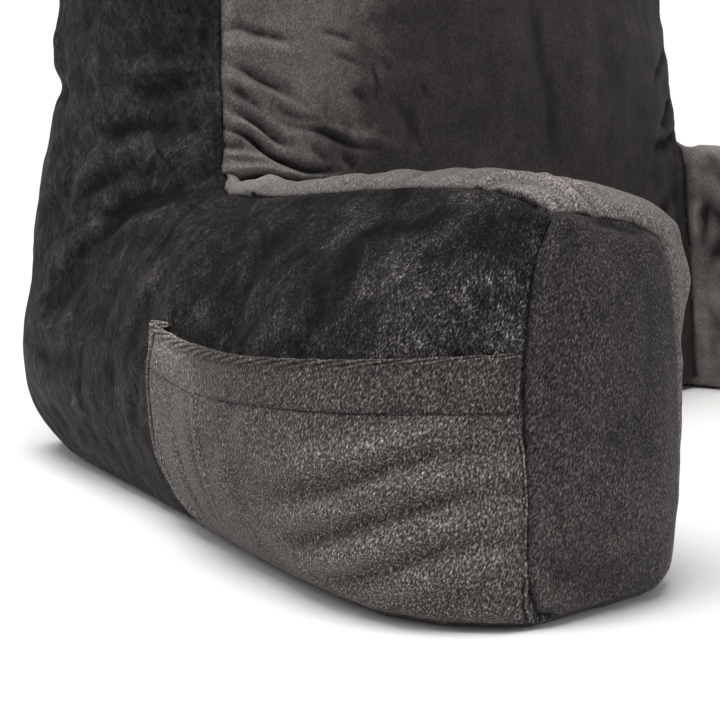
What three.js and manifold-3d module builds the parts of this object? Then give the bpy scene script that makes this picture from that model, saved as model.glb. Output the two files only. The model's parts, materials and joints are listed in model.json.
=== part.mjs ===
// Reading pillow: a stuffed backrest with two stuffed arms in dark plush, sewn from panels, with one patch
// pocket on the outer side of the left arm.
//
// Frame: millimetres, +Z up. The origin is the middle of the backrest's base. +X points to the right arm
// and -Y points forwards, along the arms.

import * as THREE from 'three';
import * as BufferGeometryUtils from 'three/addons/utils/BufferGeometryUtils.js';
import Module from 'manifold-3d';

const wasm = await Module();
wasm.setup();

// ---------------------------------------------------------------- driving dimensions

const GAP = 0.3;               // clearance between sewn neighbours
const CLOTH = 2.5;             // thickness of a plush panel with its backing
const HEM_LIFT = 3;            // the lower edges of the panels stay this high above the ground

const BACK = {
  height: 460,                 // ground to the top edge
  halfFoot: 214,               // half of the width between the arms
  halfHead: 188,               // half of the width under the top corners
  taperFrom: 168,              // the sides are upright up to the top of the arms
  footFront: -85,              // front seam at the ground
  headFront: -34,              // front seam at the top edge
  footRear: 88,                // rear seam at the ground
  headRear: 72,                // rear seam at the top edge
  frontCrown: 36,              // how far the front panel swells
  rearCrown: 26,               // how far the rear panel swells
  sideCrown: 16,               // how far the side and top panels swell
  cornerRadius: 78,            // top corners, seen from the front
  footBevel: 9,                // bottom corners, seen from the front
  topArch: 8,                  // rise of the middle of the top edge
};

const SIDE_TOP = 372;          // cross seam between a side panel and the band over the top
const ARM_FRONT = -372;        // seam ring around the end panel of an arm
const ARM_ROOT = -66;          // where the top seam of an arm meets the front seam of the backrest
const END_CROWN = 12;          // how far the end panel swells
const END_TILT = 0.08;         // the end panel leans forwards by this much for each mm inwards
const END_BLEND = 72;          // the lean fades out over this length of the arm
const END_SEAM_X = 311;        // where the end panel meets the top seam
const RIGHT_RISE = 5;          // the right arm is stuffed a little higher
const FOOT_TUCK = 6;           // how far the lower edges are drawn in
const ARM_TOP_LIMIT = 181;     // above every point of the top seam of an arm
const ARM_ROOT_LIMIT = 168;    // the same at the root of an arm

// The outline of an arm from the front to the rear corner, all x values outwards from the middle plane.
// The outer face passes through foot, knee, belly, shoulder and neck, and ends at the top seam. The strip
// over the top runs from that seam over crest and roll, down to the inner face. Behind the root of the arm
// the neck and the top run up inside the backrest, so that the side of the pillow is one smooth shoulder.
const ARM_COLUMNS = [
  'y', 'foot', 'knee', 'belly', 'shoulder', 'neck', 'seam', 'seamZ', 'crestZ', 'roll', 'inner',
];
const ARM_STATIONS = [
  [-372, 324, 325, 324, 320, 317, 311, 175, 168, 236, 229],
  [-366, 330, 332, 331, 325, 318, 308, 177, 174, 212, 218],
  [-354, 341, 343, 340, 329, 319, 305, 179, 178, 207, 213],
  [-335, 351, 353, 348, 332, 319, 299, 179, 181, 207, 213],
  [-312, 354, 357, 353, 333, 316, 292, 179, 184, 208, 214],
  [-250, 338, 344, 343, 318, 298, 272, 175, 183, 210, 215],
  [-190, 318, 325, 326, 294, 276, 253, 168, 178, 210, 215],
  [-130, 297, 304, 307, 274, 256, 234, 161, 170, 210, 215],
  [-84, 281, 290, 294, 263, 244, 219, 157, 168, 209, 214],
  [-70, 276, 286, 290, 259, 238, 214, 158, 168, 206, 208],
  [-60, 272, 283, 287, 255, 232, 208, 174, 176, 203, 204],
  [-40, 266, 278, 281, 247, 223, 204, 212, 212, 200, 200],
  [-10, 256, 269, 271, 242, 220, 203, 246, 246, 198, 198],
  [40, 238, 254, 260, 237, 226, 202, 262, 262, 196, 196],
  [70, 221, 240, 248, 234, 222, 201, 262, 262, 196, 196],
  [88, 203, 226, 234, 225, 214, 199, 258, 258, 194, 194],
];
const KNEE_Z = 27;
const BELLY_Z = 77;
const SHOULDER_Z = 140;

const POCKET = {
  rear: -114,                  // upright rear edge
  rearLean: 12,                // the rear edge leans back by this much towards the open edge
  front: -371.8,               // front edge, caught in the front seam of the arm
  foot: 4,                     // lower edge, caught in the base seam
  rearTop: 97,                 // height of the open edge behind
  rearLift: 5,                 // the rear corner of the open edge stands up by this much
  frontTop: 117,               // height of the open edge at the front seam
  sag: 1.5,                    // the open edge hangs this much in the middle
  cornerRadius: 46,            // rounded lower rear corner
  clearance: 1.2,              // the sewn edges lie this far off the arm
  slack: 17,                   // how far the open edge stands off the arm
  hem: 27,                     // depth of the turned hem
  hemExtra: 1,                 // the hem is this much thicker than the single cloth
};

// ---------------------------------------------------------------- colours

const plush = (color, roughness = 0.95) => new THREE.MeshStandardMaterial({ color, roughness, metalness: 0 });
const faceCloth = plush(0x4a4544);
const sideCloth = plush(0x2f2e2f);
const stripCloth = plush(0x5c5957);
const endCloth = plush(0x464343);
const pocketCloth = plush(0x5f5a56);

// ---------------------------------------------------------------- small tools

const lerp = THREE.MathUtils.lerp;
const clamp = THREE.MathUtils.clamp;

/** A smooth look-up in a table whose first column rises: returns the named columns at that place. */
function lookup(columns, rows) {
  const places = rows.map((row) => row[0]);
  const values = rows.flatMap((row) => row.slice(1));
  const curve = new THREE.CubicInterpolant(places, values, columns.length - 1);
  return (place) => {
    const found = curve.evaluate(clamp(place, places[0], places[places.length - 1]));
    return Object.fromEntries(columns.map((name, i) => [name, i === 0 ? place : found[i - 1]]));
  };
}

/** One closed body from rings of equally many points, each end drawn together in a single point. */
function loft(rings, firstPole, lastPole) {
  const count = rings[0].length;
  const points = [...rings.flat(), firstPole, lastPole];
  const first = points.length - 2;
  const last = points.length - 1;
  const index = [];
  for (let i = 0; i < count; i++) {
    const j = (i + 1) % count;
    index.push(first, j, i);
    for (let k = 0; k + 1 < rings.length; k++) {
      const a = k * count;
      const b = a + count;
      index.push(a + i, a + j, b + i, a + j, b + j, b + i);
    }
    const end = (rings.length - 1) * count;
    index.push(end + i, end + j, last);
  }
  const geometry = new THREE.BufferGeometry().setFromPoints(points);
  geometry.setIndex(index);
  return outwards(geometry);
}

/** Six times the volume that the triangles enclose: negative where they point inwards. */
function signedVolume(geometry) {
  const at = geometry.attributes.position;
  const [a, b, c] = [new THREE.Vector3(), new THREE.Vector3(), new THREE.Vector3()];
  let sum = 0;
  for (let i = 0; i < geometry.index.count; i += 3) {
    a.fromBufferAttribute(at, geometry.index.getX(i));
    b.fromBufferAttribute(at, geometry.index.getX(i + 1));
    c.fromBufferAttribute(at, geometry.index.getX(i + 2));
    sum += a.dot(b.cross(c));
  }
  return sum;
}

function outwards(geometry) {
  if (signedVolume(geometry) < 0) {
    geometry.setIndex(Array.from(geometry.index.array).reverse());
  }
  return geometry;
}

/** A copy whose vertices are moved along their normals: inwards for a negative distance. */
function swollen(geometry, distance) {
  const copy = geometry.clone();
  copy.computeVertexNormals();
  const { position, normal } = copy.attributes;
  for (let i = 0; i < position.count; i++) {
    position.setXYZ(
      i,
      position.getX(i) + distance * normal.getX(i),
      position.getY(i) + distance * normal.getY(i),
      position.getZ(i) + distance * normal.getZ(i),
    );
  }
  return copy;
}

function solid(geometry) {
  const bare = geometry.clone();
  bare.deleteAttribute('normal');
  bare.deleteAttribute('uv');
  const merged = BufferGeometryUtils.mergeVertices(bare, 1e-3);
  return new wasm.Manifold(new wasm.Mesh({
    numProp: 3,
    vertProperties: new Float32Array(merged.attributes.position.array),
    triVerts: new Uint32Array(merged.index.array),
  }));
}

function surface(body) {
  const mesh = body.getMesh();
  const geometry = new THREE.BufferGeometry();
  geometry.setAttribute('position', new THREE.BufferAttribute(mesh.vertProperties, 3));
  geometry.setIndex(new THREE.BufferAttribute(mesh.triVerts, 1));
  return geometry;
}

/** The largest piece of a cut. The crumbs that it leaves along a seam are dropped. */
function largest(cut) {
  const [body] = cut.decompose().sort((a, b) => b.volume() - a.volume());
  return body;
}

/** A sub-part's mesh. Merging the points of a cut that lie together can part off a last crumb. */
function node(name, cut, material) {
  const made = new THREE.Mesh(surface(largest(solid(surface(largest(cut))))), material);
  made.name = name;
  return made;
}

/** A prism over a polygon. The polygon's axes are named, and the prism runs along the third one. */
function prism(polygon, axes, from, to) {
  const shape = new THREE.Shape(polygon.map(([u, v]) => new THREE.Vector2(u, v)));
  const geometry = new THREE.ExtrudeGeometry(shape, { depth: to - from, bevelEnabled: false });
  geometry.translate(0, 0, from);
  if (axes === 'yz') {
    geometry.applyMatrix4(new THREE.Matrix4().set(0, 0, 1, 0, 1, 0, 0, 0, 0, 1, 0, 0, 0, 0, 0, 1));
  }
  if (axes === 'xz') {
    geometry.rotateX(Math.PI / 2);
  }
  return solid(geometry);
}

// ---------------------------------------------------------------- backrest

const frontSeam = (z) => lerp(BACK.footFront, BACK.headFront, z / BACK.height);
const rearSeam = (z) => lerp(BACK.footRear, BACK.headRear, z / BACK.height);

function backHalfWidth(z) {
  const above = clamp((z - BACK.taperFrom) / (BACK.height - BACK.taperFrom), 0, 1);
  return lerp(BACK.halfFoot, BACK.halfHead, above);
}

/** The seam outline of the backrest seen from the front, as points that run up the right side. */
function backOutline() {
  const { height, cornerRadius, footBevel, topArch } = BACK;
  const shoulder = backHalfWidth(height) - cornerRadius;
  const corner = new THREE.CubicBezierCurve(
    new THREE.Vector2(backHalfWidth(height - cornerRadius), height - cornerRadius),
    new THREE.Vector2(backHalfWidth(height), height - 0.42 * cornerRadius),
    new THREE.Vector2(shoulder + 0.55 * cornerRadius, height - topArch),
    new THREE.Vector2(shoulder, height - topArch),
  );
  const side = [footBevel, 60, 120, BACK.taperFrom, 232, 300];
  const right = [
    new THREE.Vector2(BACK.halfFoot - footBevel, 0),
    ...side.map((z) => new THREE.Vector2(backHalfWidth(z), z)),
    ...corner.getPoints(5),
    new THREE.Vector2(0.5 * shoulder, height - 0.25 * topArch),
  ];
  const left = right.map((p) => new THREE.Vector2(-p.x, p.y)).reverse();
  const top = new THREE.Vector2(0, height);
  const base = [-0.5, 0, 0.5].map((share) => new THREE.Vector2(share * BACK.halfFoot, 0));
  return [...right, top, ...left, ...base];
}

/** How far a main panel swells at a place, as a share of its crown: nothing on the outline itself. */
function backSwell(x, z) {
  const across = clamp(Math.abs(x) / backHalfWidth(z), 0, 1);
  const rise = clamp(z / BACK.height, 0, 1);
  return (1 - across ** 2) ** 0.62 * Math.sin(Math.PI * rise ** 0.78) ** 0.6;
}

function backForm() {
  const outline = backOutline();
  const middle = new THREE.Vector2(0, 0.46 * BACK.height);
  const shares = [0.3, 0.58, 0.8, 0.94];
  const place = (share, seam, crown) => outline.map((edge) => {
    const p = middle.clone().lerp(edge, share);
    return new THREE.Vector3(p.x, seam(p.y) + crown * backSwell(p.x, p.y), p.y);
  });
  const band = (t) => outline.map((edge, i) => {
    const before = outline[(i + outline.length - 1) % outline.length];
    const after = outline[(i + 1) % outline.length];
    const along = after.clone().sub(before).normalize();
    const swell = edge.y > 0 ? BACK.sideCrown * 4 * t * (1 - t) * clamp(edge.y / 60, 0, 1) : 0;
    return new THREE.Vector3(
      edge.x + along.y * swell,
      lerp(frontSeam(edge.y), rearSeam(edge.y), t),
      edge.y - along.x * swell,
    );
  });
  const front = shares.map((share) => place(share, frontSeam, -BACK.frontCrown));
  const rear = shares.map((share) => place(share, rearSeam, BACK.rearCrown)).reverse();
  const rings = [...front, band(0), band(0.2), band(0.5), band(0.8), band(1), ...rear];
  const pole = (seam, crown) => new THREE.Vector3(
    0, seam(middle.y) + crown * backSwell(0, middle.y), middle.y);
  return loft(rings, pole(frontSeam, -BACK.frontCrown), pole(rearSeam, BACK.rearCrown));
}

// ---------------------------------------------------------------- arms

const armAt = lookup(ARM_COLUMNS, ARM_STATIONS);

/** The outer face of an arm at one station, from the ground up to the top seam, as (outwards, up). */
function outerCurve(y) {
  const arm = armAt(y);
  return new THREE.CatmullRomCurve3([
    new THREE.Vector3(arm.foot - FOOT_TUCK, 0, 0),
    new THREE.Vector3(arm.foot, FOOT_TUCK, 0),
    new THREE.Vector3(arm.knee, KNEE_Z, 0),
    new THREE.Vector3(arm.belly, BELLY_Z, 0),
    new THREE.Vector3(arm.shoulder, SHOULDER_Z, 0),
    new THREE.Vector3(arm.neck, lerp(SHOULDER_Z, arm.seamZ, 0.5), 0),
    new THREE.Vector3(arm.seam, arm.seamZ, 0),
  ]);
}

/** The strip over the top and the inner face, from the top seam down to the ground. */
function innerCurve(y, side) {
  const arm = armAt(y);
  const crestZ = arm.crestZ + (side > 0 ? RIGHT_RISE : 0);
  return new THREE.CatmullRomCurve3([
    new THREE.Vector3(arm.seam, arm.seamZ, 0),
    new THREE.Vector3(lerp(arm.seam, arm.roll, 0.5), crestZ, 0),
    new THREE.Vector3(lerp(arm.seam, arm.roll, 0.88), lerp(SHOULDER_Z, crestZ, 0.75), 0),
    new THREE.Vector3(arm.roll, SHOULDER_Z, 0),
    new THREE.Vector3(arm.inner, BELLY_Z, 0),
    new THREE.Vector3(arm.inner + 3, 1.5 * FOOT_TUCK, 0),
    new THREE.Vector3(arm.inner + 3 + 1.5 * FOOT_TUCK, 0, 0),
  ]);
}

/** Behind its root an arm leans with the rear seam of the backrest. */
function rearLean(y, z) {
  return clamp((y - ARM_ROOT) / (BACK.footRear - ARM_ROOT), 0, 1) * (rearSeam(z) - BACK.footRear);
}

/** How far the front of an arm leans forwards at a place. */
function endLean(y, x) {
  return clamp((ARM_FRONT + END_BLEND - y) / END_BLEND, 0, 1) * END_TILT * (END_SEAM_X - x);
}

function armRing(y, side) {
  const outer = outerCurve(y).getPoints(8);
  const inner = innerCurve(y, side).getPoints(8);
  const base = inner[inner.length - 1].clone().lerp(outer[0], 0.5);
  return [...outer.slice(0, -1), ...inner, base].map((p) => new THREE.Vector3(
    side * p.x, y + rearLean(y, p.y) - endLean(y, p.x), p.y));
}

/** One stuffed arm: side is -1 for the left arm and 1 for the right one. */
function armForm(side) {
  const stations = [
    ARM_FRONT, -366, -355, -338, -312, -272, -228, -184, -142, -106, -80, ARM_ROOT, -48, -24, 8, 44, 70, BACK.footRear,
  ];
  const rings = stations.map((y) => armRing(y, side));
  const ring = rings[0];
  const middle = new THREE.Vector3(side * 275, ARM_FRONT - endLean(ARM_FRONT, 275), 88);
  const end = [0.3, 0.58, 0.8, 0.93].map((share) => ring.map((edge) => {
    const p = middle.clone().lerp(edge, share);
    p.y -= END_CROWN * (1 - share ** 2.4) ** 0.7;
    return p;
  }));
  const last = rings[rings.length - 1];
  const rearPole = last.reduce((sum, p) => sum.add(p), new THREE.Vector3()).divideScalar(last.length);
  const frontPole = middle.clone();
  frontPole.y -= END_CROWN;
  return loft([...end, ...rings], frontPole, rearPole);
}

// ---------------------------------------------------------------- where the panels lie

const FAR = 500;
const PAST_FRONT = ARM_FRONT - 20;
const SEAM_STEP = 14;          // the top seam of an arm is followed in steps of this length
const SEAM_WRAP = 3;           // a side panel reaches this far round the edges of the backrest

/** The space that holds a side panel: over the side of the backrest and the outer face of an arm. */
function sideZone(side, grow) {
  const top = SIDE_TOP + grow;
  const profile = prism([
    [rearSeam(0) + grow + 0.5, HEM_LIFT - grow],
    [rearSeam(top) + grow + 0.5, top],
    [frontSeam(top) - grow, top],
    [frontSeam(ARM_ROOT_LIMIT) - grow, ARM_ROOT_LIMIT],
    [2 * ARM_ROOT, ARM_ROOT_LIMIT],
    [3 * ARM_ROOT, ARM_TOP_LIMIT],
    [PAST_FRONT, ARM_TOP_LIMIT],
    [PAST_FRONT, HEM_LIFT - grow],
  ], 'yz', -FAR, FAR);
  const seam = [];
  for (let y = PAST_FRONT; y < ARM_ROOT; y += SEAM_STEP) {
    seam.push([side * (armAt(y).seam - grow), y]);
  }
  const plan = prism([
    [side * FAR, PAST_FRONT],
    ...seam,
    [0, ARM_ROOT - grow],
    [0, FAR],
    [side * FAR, FAR],
  ], 'xy', -FAR, FAR);
  const edge = (z) => side * (backHalfWidth(z) - SEAM_WRAP - grow);
  const front = prism([
    [side * FAR, -1],
    [edge(-1), -1],
    [edge(BACK.taperFrom), BACK.taperFrom],
    [edge(BACK.height), BACK.height],
    [side * FAR, BACK.height],
  ], 'xz', -FAR, FAR);
  return profile.intersect(plan).intersect(front);
}

/** The space that holds the band over the top of the backrest. */
function topZone(grow) {
  const low = SIDE_TOP + GAP - grow;
  return prism([
    [frontSeam(low) - grow, low],
    [rearSeam(low) + grow, low],
    [rearSeam(FAR) + grow, FAR],
    [frontSeam(FAR) - grow, FAR],
  ], 'yz', -FAR, FAR);
}

/** The space that holds the end panel of an arm. */
function endZone(side, grow) {
  const seamY = (x) => ARM_FRONT - GAP + grow - endLean(ARM_FRONT, x);
  return prism([
    [side * BACK.halfHead, seamY(BACK.halfHead)],
    [side * FAR, seamY(FAR)],
    [side * FAR, -FAR],
    [side * BACK.halfHead, -FAR],
  ], 'xy', HEM_LIFT - grow, FAR);
}

// ---------------------------------------------------------------- pocket

/** How far out the outer face of the arm lies at a place. */
function outerFace(y, z) {
  const points = outerCurve(y).getPoints(40);
  const above = points.findIndex((p) => p.y >= z);
  const high = points[Math.max(above, 1)];
  const low = points[Math.max(above, 1) - 1];
  return lerp(low.x, high.x, clamp((z - low.y) / (high.y - low.y), 0, 1));
}

function pocketSheet(side) {
  const along = 18;
  const up = 8;
  const length = POCKET.front - POCKET.rear;
  const foot = (y) => {
    const short = Math.max(0, POCKET.cornerRadius - Math.abs(y - POCKET.rear));
    return POCKET.foot + POCKET.cornerRadius - Math.sqrt(POCKET.cornerRadius ** 2 - short ** 2);
  };
  const top = (u) => lerp(POCKET.rearTop, POCKET.frontTop, u)
    + POCKET.rearLift * (1 - u) ** 20 - POCKET.sag * Math.sin(Math.PI * u);
  const place = (i, j, outer) => {
    const u = i / along;
    const v = j / up;
    const base = POCKET.rear + u * length;
    const z = lerp(foot(base), top(u), v ** 0.9);
    const y = base + POCKET.rearLean * (1 - u) ** 2 * v ** 2;
    const stand = POCKET.slack * Math.sin(Math.PI * u ** 0.75) ** 0.75 * Math.sin(0.5 * Math.PI * v) ** 0.8;
    const hem = top(u) - z < POCKET.hem ? POCKET.hemExtra : 0;
    const thickness = outer ? CLOTH - 0.5 + hem : 0;
    return new THREE.Vector3(side * (outerFace(y, z) + POCKET.clearance + stand + thickness), y, z);
  };
  const rings = [];
  for (let i = 0; i <= along; i++) {
    const ring = [];
    for (let j = 0; j <= up; j++) {
      ring.push(place(i, j, true));
    }
    for (let j = up; j >= 0; j--) {
      ring.push(place(i, j, false));
    }
    rings.push(ring);
  }
  const pole = (ring) => ring.reduce((sum, p) => sum.add(p), new THREE.Vector3()).divideScalar(ring.length);
  return solid(loft(rings, pole(rings[0]), pole(rings[rings.length - 1])));
}

// ---------------------------------------------------------------- the pillow

const pillow = new THREE.Group();

const backSurface = backForm();
const backWhole = solid(backSurface);
const backClear = solid(swollen(backSurface, GAP));
const skinned = (surface) => solid(swollen(surface, -CLOTH));
const recessed = (surface) => solid(swollen(surface, -CLOTH - GAP));
const backFill = recessed(backSurface);

let backrest = backWhole;
for (const [side, label] of [[-1, 'left'], [1, 'right']]) {
  const armSurface = armForm(side);
  const arm = solid(armSurface);
  const armFill = recessed(armSurface);
  const whole = backWhole.add(arm);
  const inside = skinned(backSurface).add(skinned(armSurface));
  const sidePanel = whole.subtract(inside).intersect(sideZone(side, 0)).subtract(endZone(side, GAP));
  const recess = sideZone(side, GAP).subtract(backFill.add(armFill));
  const endPanel = arm.subtract(skinned(armSurface)).intersect(endZone(side, 0));
  const armBody = arm.subtract(backClear).subtract(recess).subtract(endZone(side, GAP).subtract(armFill));
  backrest = backrest.subtract(recess);

  pillow.add(
    node(`arm_${label}`, armBody, stripCloth),
    node(`side_panel_${label}`, sidePanel, sideCloth),
    node(`arm_end_${label}`, endPanel, endCloth),
  );
}
const topBand = backWhole.subtract(skinned(backSurface)).intersect(topZone(0));
backrest = backrest.subtract(topZone(GAP).subtract(backFill));

pillow.add(
  node('backrest', backrest, faceCloth),
  node('top_band', topBand, sideCloth),
  node('pocket', pocketSheet(-1), pocketCloth),
);

export default pillow;
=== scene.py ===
import bpy
import bmesh
import json
import math
import numpy as np
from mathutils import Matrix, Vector, kdtree, noise
from mathutils.bvhtree import BVHTree

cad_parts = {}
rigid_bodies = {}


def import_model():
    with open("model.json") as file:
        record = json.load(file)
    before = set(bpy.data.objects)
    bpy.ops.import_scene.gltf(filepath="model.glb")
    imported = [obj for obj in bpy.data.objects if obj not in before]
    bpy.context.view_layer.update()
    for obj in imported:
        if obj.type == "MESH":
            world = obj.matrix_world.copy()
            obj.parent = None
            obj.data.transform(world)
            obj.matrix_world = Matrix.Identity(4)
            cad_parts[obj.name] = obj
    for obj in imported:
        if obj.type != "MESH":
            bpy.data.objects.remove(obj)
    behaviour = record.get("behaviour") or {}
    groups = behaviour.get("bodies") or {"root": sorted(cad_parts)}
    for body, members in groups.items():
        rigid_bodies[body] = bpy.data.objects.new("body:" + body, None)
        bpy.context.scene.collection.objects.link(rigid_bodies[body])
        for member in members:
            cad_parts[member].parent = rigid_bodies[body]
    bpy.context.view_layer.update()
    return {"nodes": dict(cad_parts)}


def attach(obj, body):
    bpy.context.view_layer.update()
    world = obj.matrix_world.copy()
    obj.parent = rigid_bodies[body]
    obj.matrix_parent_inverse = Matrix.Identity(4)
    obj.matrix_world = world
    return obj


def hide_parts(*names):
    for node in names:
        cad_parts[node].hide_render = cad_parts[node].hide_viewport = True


for thing in list(bpy.data.objects):
    bpy.data.objects.remove(thing)
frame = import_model()

MM = 0.001
PADS = ["backrest", "arm_left", "arm_right"]
SKINS = ["side_panel_left", "side_panel_right", "arm_end_left", "arm_end_right", "top_band"]
PANELS = PADS + SKINS
SLOTS = {
    "backrest": "face_plush", "arm_left": "arm_plush", "arm_right": "arm_plush",
    "side_panel_left": "side_plush", "side_panel_right": "side_plush", "top_band": "side_plush",
    "arm_end_left": "end_plush", "arm_end_right": "end_plush", "pocket": "pocket_plush",
}


def given(thing, **settings):
    """Sets a thing's settings and hands it back."""
    for name, setting in settings.items():
        setattr(thing, name, setting)
    return thing


def linked(name, data):
    """A new object in the scene, with a mesh, light or camera."""
    item = bpy.data.objects.new(name, data)
    bpy.context.scene.collection.objects.link(item)
    return item


def built(name, work):
    """A new object in the scene, with the mesh that was worked on."""
    mesh = bpy.data.meshes.new(name)
    work.to_mesh(mesh)
    work.free()
    return linked(name, mesh)


# ------- camera and light

CAMERA_AT = (-0.9238, -0.8582, 0.2353)
CAMERA_YAW = math.radians(46)
CAMERA_PITCH = math.radians(9)
CAMERA_LENS = 97.7


def aimed(thing, place, target):
    """Puts a light or camera at a place, looking at a target."""
    turn = (Vector(target) - Vector(place)).to_track_quat("-Z", "Y").to_euler()
    return given(linked(thing.name, thing), location=place, rotation_euler=turn)


def lamp(name, kind, place, target, **settings):
    """A studio light."""
    return aimed(given(bpy.data.lights.new(name, kind), **settings), place, target)


camera = given(bpy.data.cameras.new("camera"), lens=CAMERA_LENS)
forwards = Vector((
    math.sin(CAMERA_YAW) * math.cos(CAMERA_PITCH),
    math.cos(CAMERA_YAW) * math.cos(CAMERA_PITCH),
    -math.sin(CAMERA_PITCH),
))
bpy.context.scene.camera = aimed(camera, CAMERA_AT, Vector(CAMERA_AT) + forwards)
lamp("side_light", "AREA", (-1.8, 0.1, 1.3), (-0.1, 0, 0.2), size=0.9, energy=8)
lamp("front_light", "AREA", (0.5, -2.0, 1.1), (0, -0.1, 0.15), size=0.9, energy=6)
lamp(
    "overhead_light", "SUN", (-0.5, -0.1, 2.0), (0, 0, 0),
    energy=3.0, angle=math.radians(38), color=(1.0, 0.985, 0.965),
)
bpy.context.scene.view_settings.view_transform = "Standard"

# ------- material nodes


def arithmetic(operation, reflected=False):
    """A method of Value that adds a Math node."""
    def method(self, other):
        first, second = (other, self) if reflected else (self, other)
        return self.finish.node("ShaderNodeMath", {"operation": operation}, {0: first, 1: second})
    return method


class Value:
    """The output of a node. Arithmetic on it adds Math nodes."""

    def __init__(self, finish, socket):
        self.finish = finish
        self.socket = socket

    __add__ = __radd__ = arithmetic("ADD")
    __mul__ = __rmul__ = arithmetic("MULTIPLY")
    __sub__ = arithmetic("SUBTRACT")
    __rsub__ = arithmetic("SUBTRACT", reflected=True)
    __rpow__ = arithmetic("POWER", reflected=True)


class Finish:
    """The nodes of a material or world, with one method that adds any node."""

    def __init__(self, owner):
        owner.use_nodes = True
        self.owner = owner
        self.tree = owner.node_tree
        self.tree.nodes.clear()

    def node(self, kind, settings, inputs, output=0):
        """Adds a node of a kind, sets its settings, then its inputs, and gives one of its outputs."""
        made = given(self.tree.nodes.new(kind), **settings)
        for name, value in inputs.items():
            if isinstance(value, Value):
                self.tree.links.new(value.socket, made.inputs[name])
            else:
                made.inputs[name].default_value = value
        return Value(self, made.outputs[output]) if len(made.outputs) else None

    def places(self):
        """The object's own coordinates, in metres."""
        return self.node("ShaderNodeTexCoord", {}, {}, "Object")

    def axes(self, places):
        """How far the places are to the right, ahead (towards the arms' fronts) and up."""
        right, back, up = [
            self.node("ShaderNodeSeparateXYZ", {}, {"Vector": places}, axis) for axis in "XYZ"]
        return right, back * -1, up

    def vector(self, operation, first, second, output=0):
        return self.node("ShaderNodeVectorMath", {"operation": operation}, {0: first, 1: second}, output)

    def scaled(self, vector, factor):
        return self.node("ShaderNodeVectorMath", {"operation": "SCALE"}, {0: vector, "Scale": factor})

    def stretched(self, places, direction, share):
        """The places with their part along a direction cut to a share, so a pattern on them runs that way."""
        along = self.vector("DOT_PRODUCT", places, direction, "Value")
        return self.vector("ADD", places, self.scaled(direction, along * (share - 1)))

    def clouds(self, places, size, detail=3, roughness=0.55, twist=0.0):
        """Soft noise, about 0.5 in the middle, with patches of a size in metres."""
        inputs = {"Vector": places, "Scale": 1 / size, "Detail": detail, "Roughness": roughness}
        return self.node("ShaderNodeTexNoise", {}, {**inputs, "Distortion": twist})

    def lines(self, places, size, width):
        """Thin wandering lines: 1 on a line and 0 beside it."""
        middle = self.clouds(places, size, 3, 0.6, 0.8) - 0.5
        apart = self.node("ShaderNodeMath", {"operation": "ABSOLUTE"}, {0: middle})
        return self.between(apart, width, 0.0)

    def between(self, value, low, high):
        """0 below low, 1 above high and smooth between."""
        return self.node(
            "ShaderNodeMapRange", {"interpolation_type": "SMOOTHSTEP"},
            {"Value": value, "From Min": low, "From Max": high},
        )

    def mixed(self, share, first, second):
        """A colour a share of the way from the first to the second."""
        return self.node("ShaderNodeMix", {"data_type": "RGBA"}, {0: share, 6: first, 7: second}, 2)

    def bumped(self, strength, height):
        """A normal tilted by a height in metres."""
        return self.node("ShaderNodeBump", {}, {"Strength": strength, "Distance": 1.0, "Height": height})

    def surface(self, inputs):
        """Ends the material with one Principled shader."""
        shader = self.node("ShaderNodeBsdfPrincipled", {}, inputs)
        self.node("ShaderNodeOutputMaterial", {}, {"Surface": shader})
        return self.owner


def grey(level, warmth=0.05):
    """A warm grey of an even level from 0 to 1."""
    return (level * (1 + warmth), level * (1 - warmth * 0.3), level * (1 - warmth * 0.6), 1)


# The cloth's marks: size in metres, the way they run and the share that their pattern is cut to that way.
STREAK = 0.010, (0.0, 0.55, 0.83), 0.35
CRINKLE = 0.0042, (0.2, 0.5, 0.84), 0.5
STRAND = 0.00075, (0.26, -0.26, 0.93), 0.5
CONTRAST = 3.4


def plush(name, level, patch, crush, streak, pile, warmth, lit, sheen):
    """Short-pile plush: crushed patches and streaks of nap, fine slanted pile, and painted highlights on ridges
    with painted shade in troughs and seams.
    """
    cloth = Finish(bpy.data.materials.new(name))
    places = cloth.places()

    def marks(kind, detail, roughness, twist):
        size, way, share = kind
        return cloth.clouds(cloth.stretched(places, way, share), size, detail, roughness, twist)

    wander = cloth.clouds(places, patch * 2.6, 2)
    nap = cloth.clouds(places, patch, 7, 0.7, 0.9)
    streaks = marks(STREAK, 4, 0.7, 1.0)
    crinkle = marks(CRINKLE, 3, 0.6, 1.4)
    strands = marks(STRAND, 1, 0.5, 0.2)
    # Painted shade in troughs and seams and painted highlights on ridges, stored on the mesh; lit then varies
    # the level, partly with painted light.
    painted_shading = cloth.node("ShaderNodeAttribute", {"attribute_name": "painted_shading"}, {}, "Fac")
    tone = (wander - 0.5) * (1.1 * crush) + (nap - 0.5) * (2.0 * crush)
    tone = tone + (streaks - 0.5) * (1.5 * streak) + (crinkle - 0.5) * (1.5 * streak)
    light = cloth.between(tone, -0.5, 0.6)
    colour = cloth.mixed(light, grey(level, warmth * 0.6), grey(level, warmth * 1.3))
    grain = (strands - 0.5) * (pile(cloth, places) if callable(pile) else pile)
    strength = CONTRAST ** (tone + grain * 5.0) * (1 + painted_shading) * lit(cloth, places)
    height = grain * 0.0004 + streaks * (0.0006 * streak) + crinkle * (0.0006 * streak)
    return cloth.surface({
        "Base Color": cloth.scaled(colour, strength),
        "Roughness": 0.8 - light * 0.1,
        "Normal": cloth.bumped(1.0, height + nap * (0.0014 * crush)),
        "Specular IOR Level": 0.12,
        "Sheen Weight": sheen,
        "Sheen Roughness": 0.35,
        "Sheen Tint": (0.95, 0.92, 0.9, 1),
    })


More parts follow.
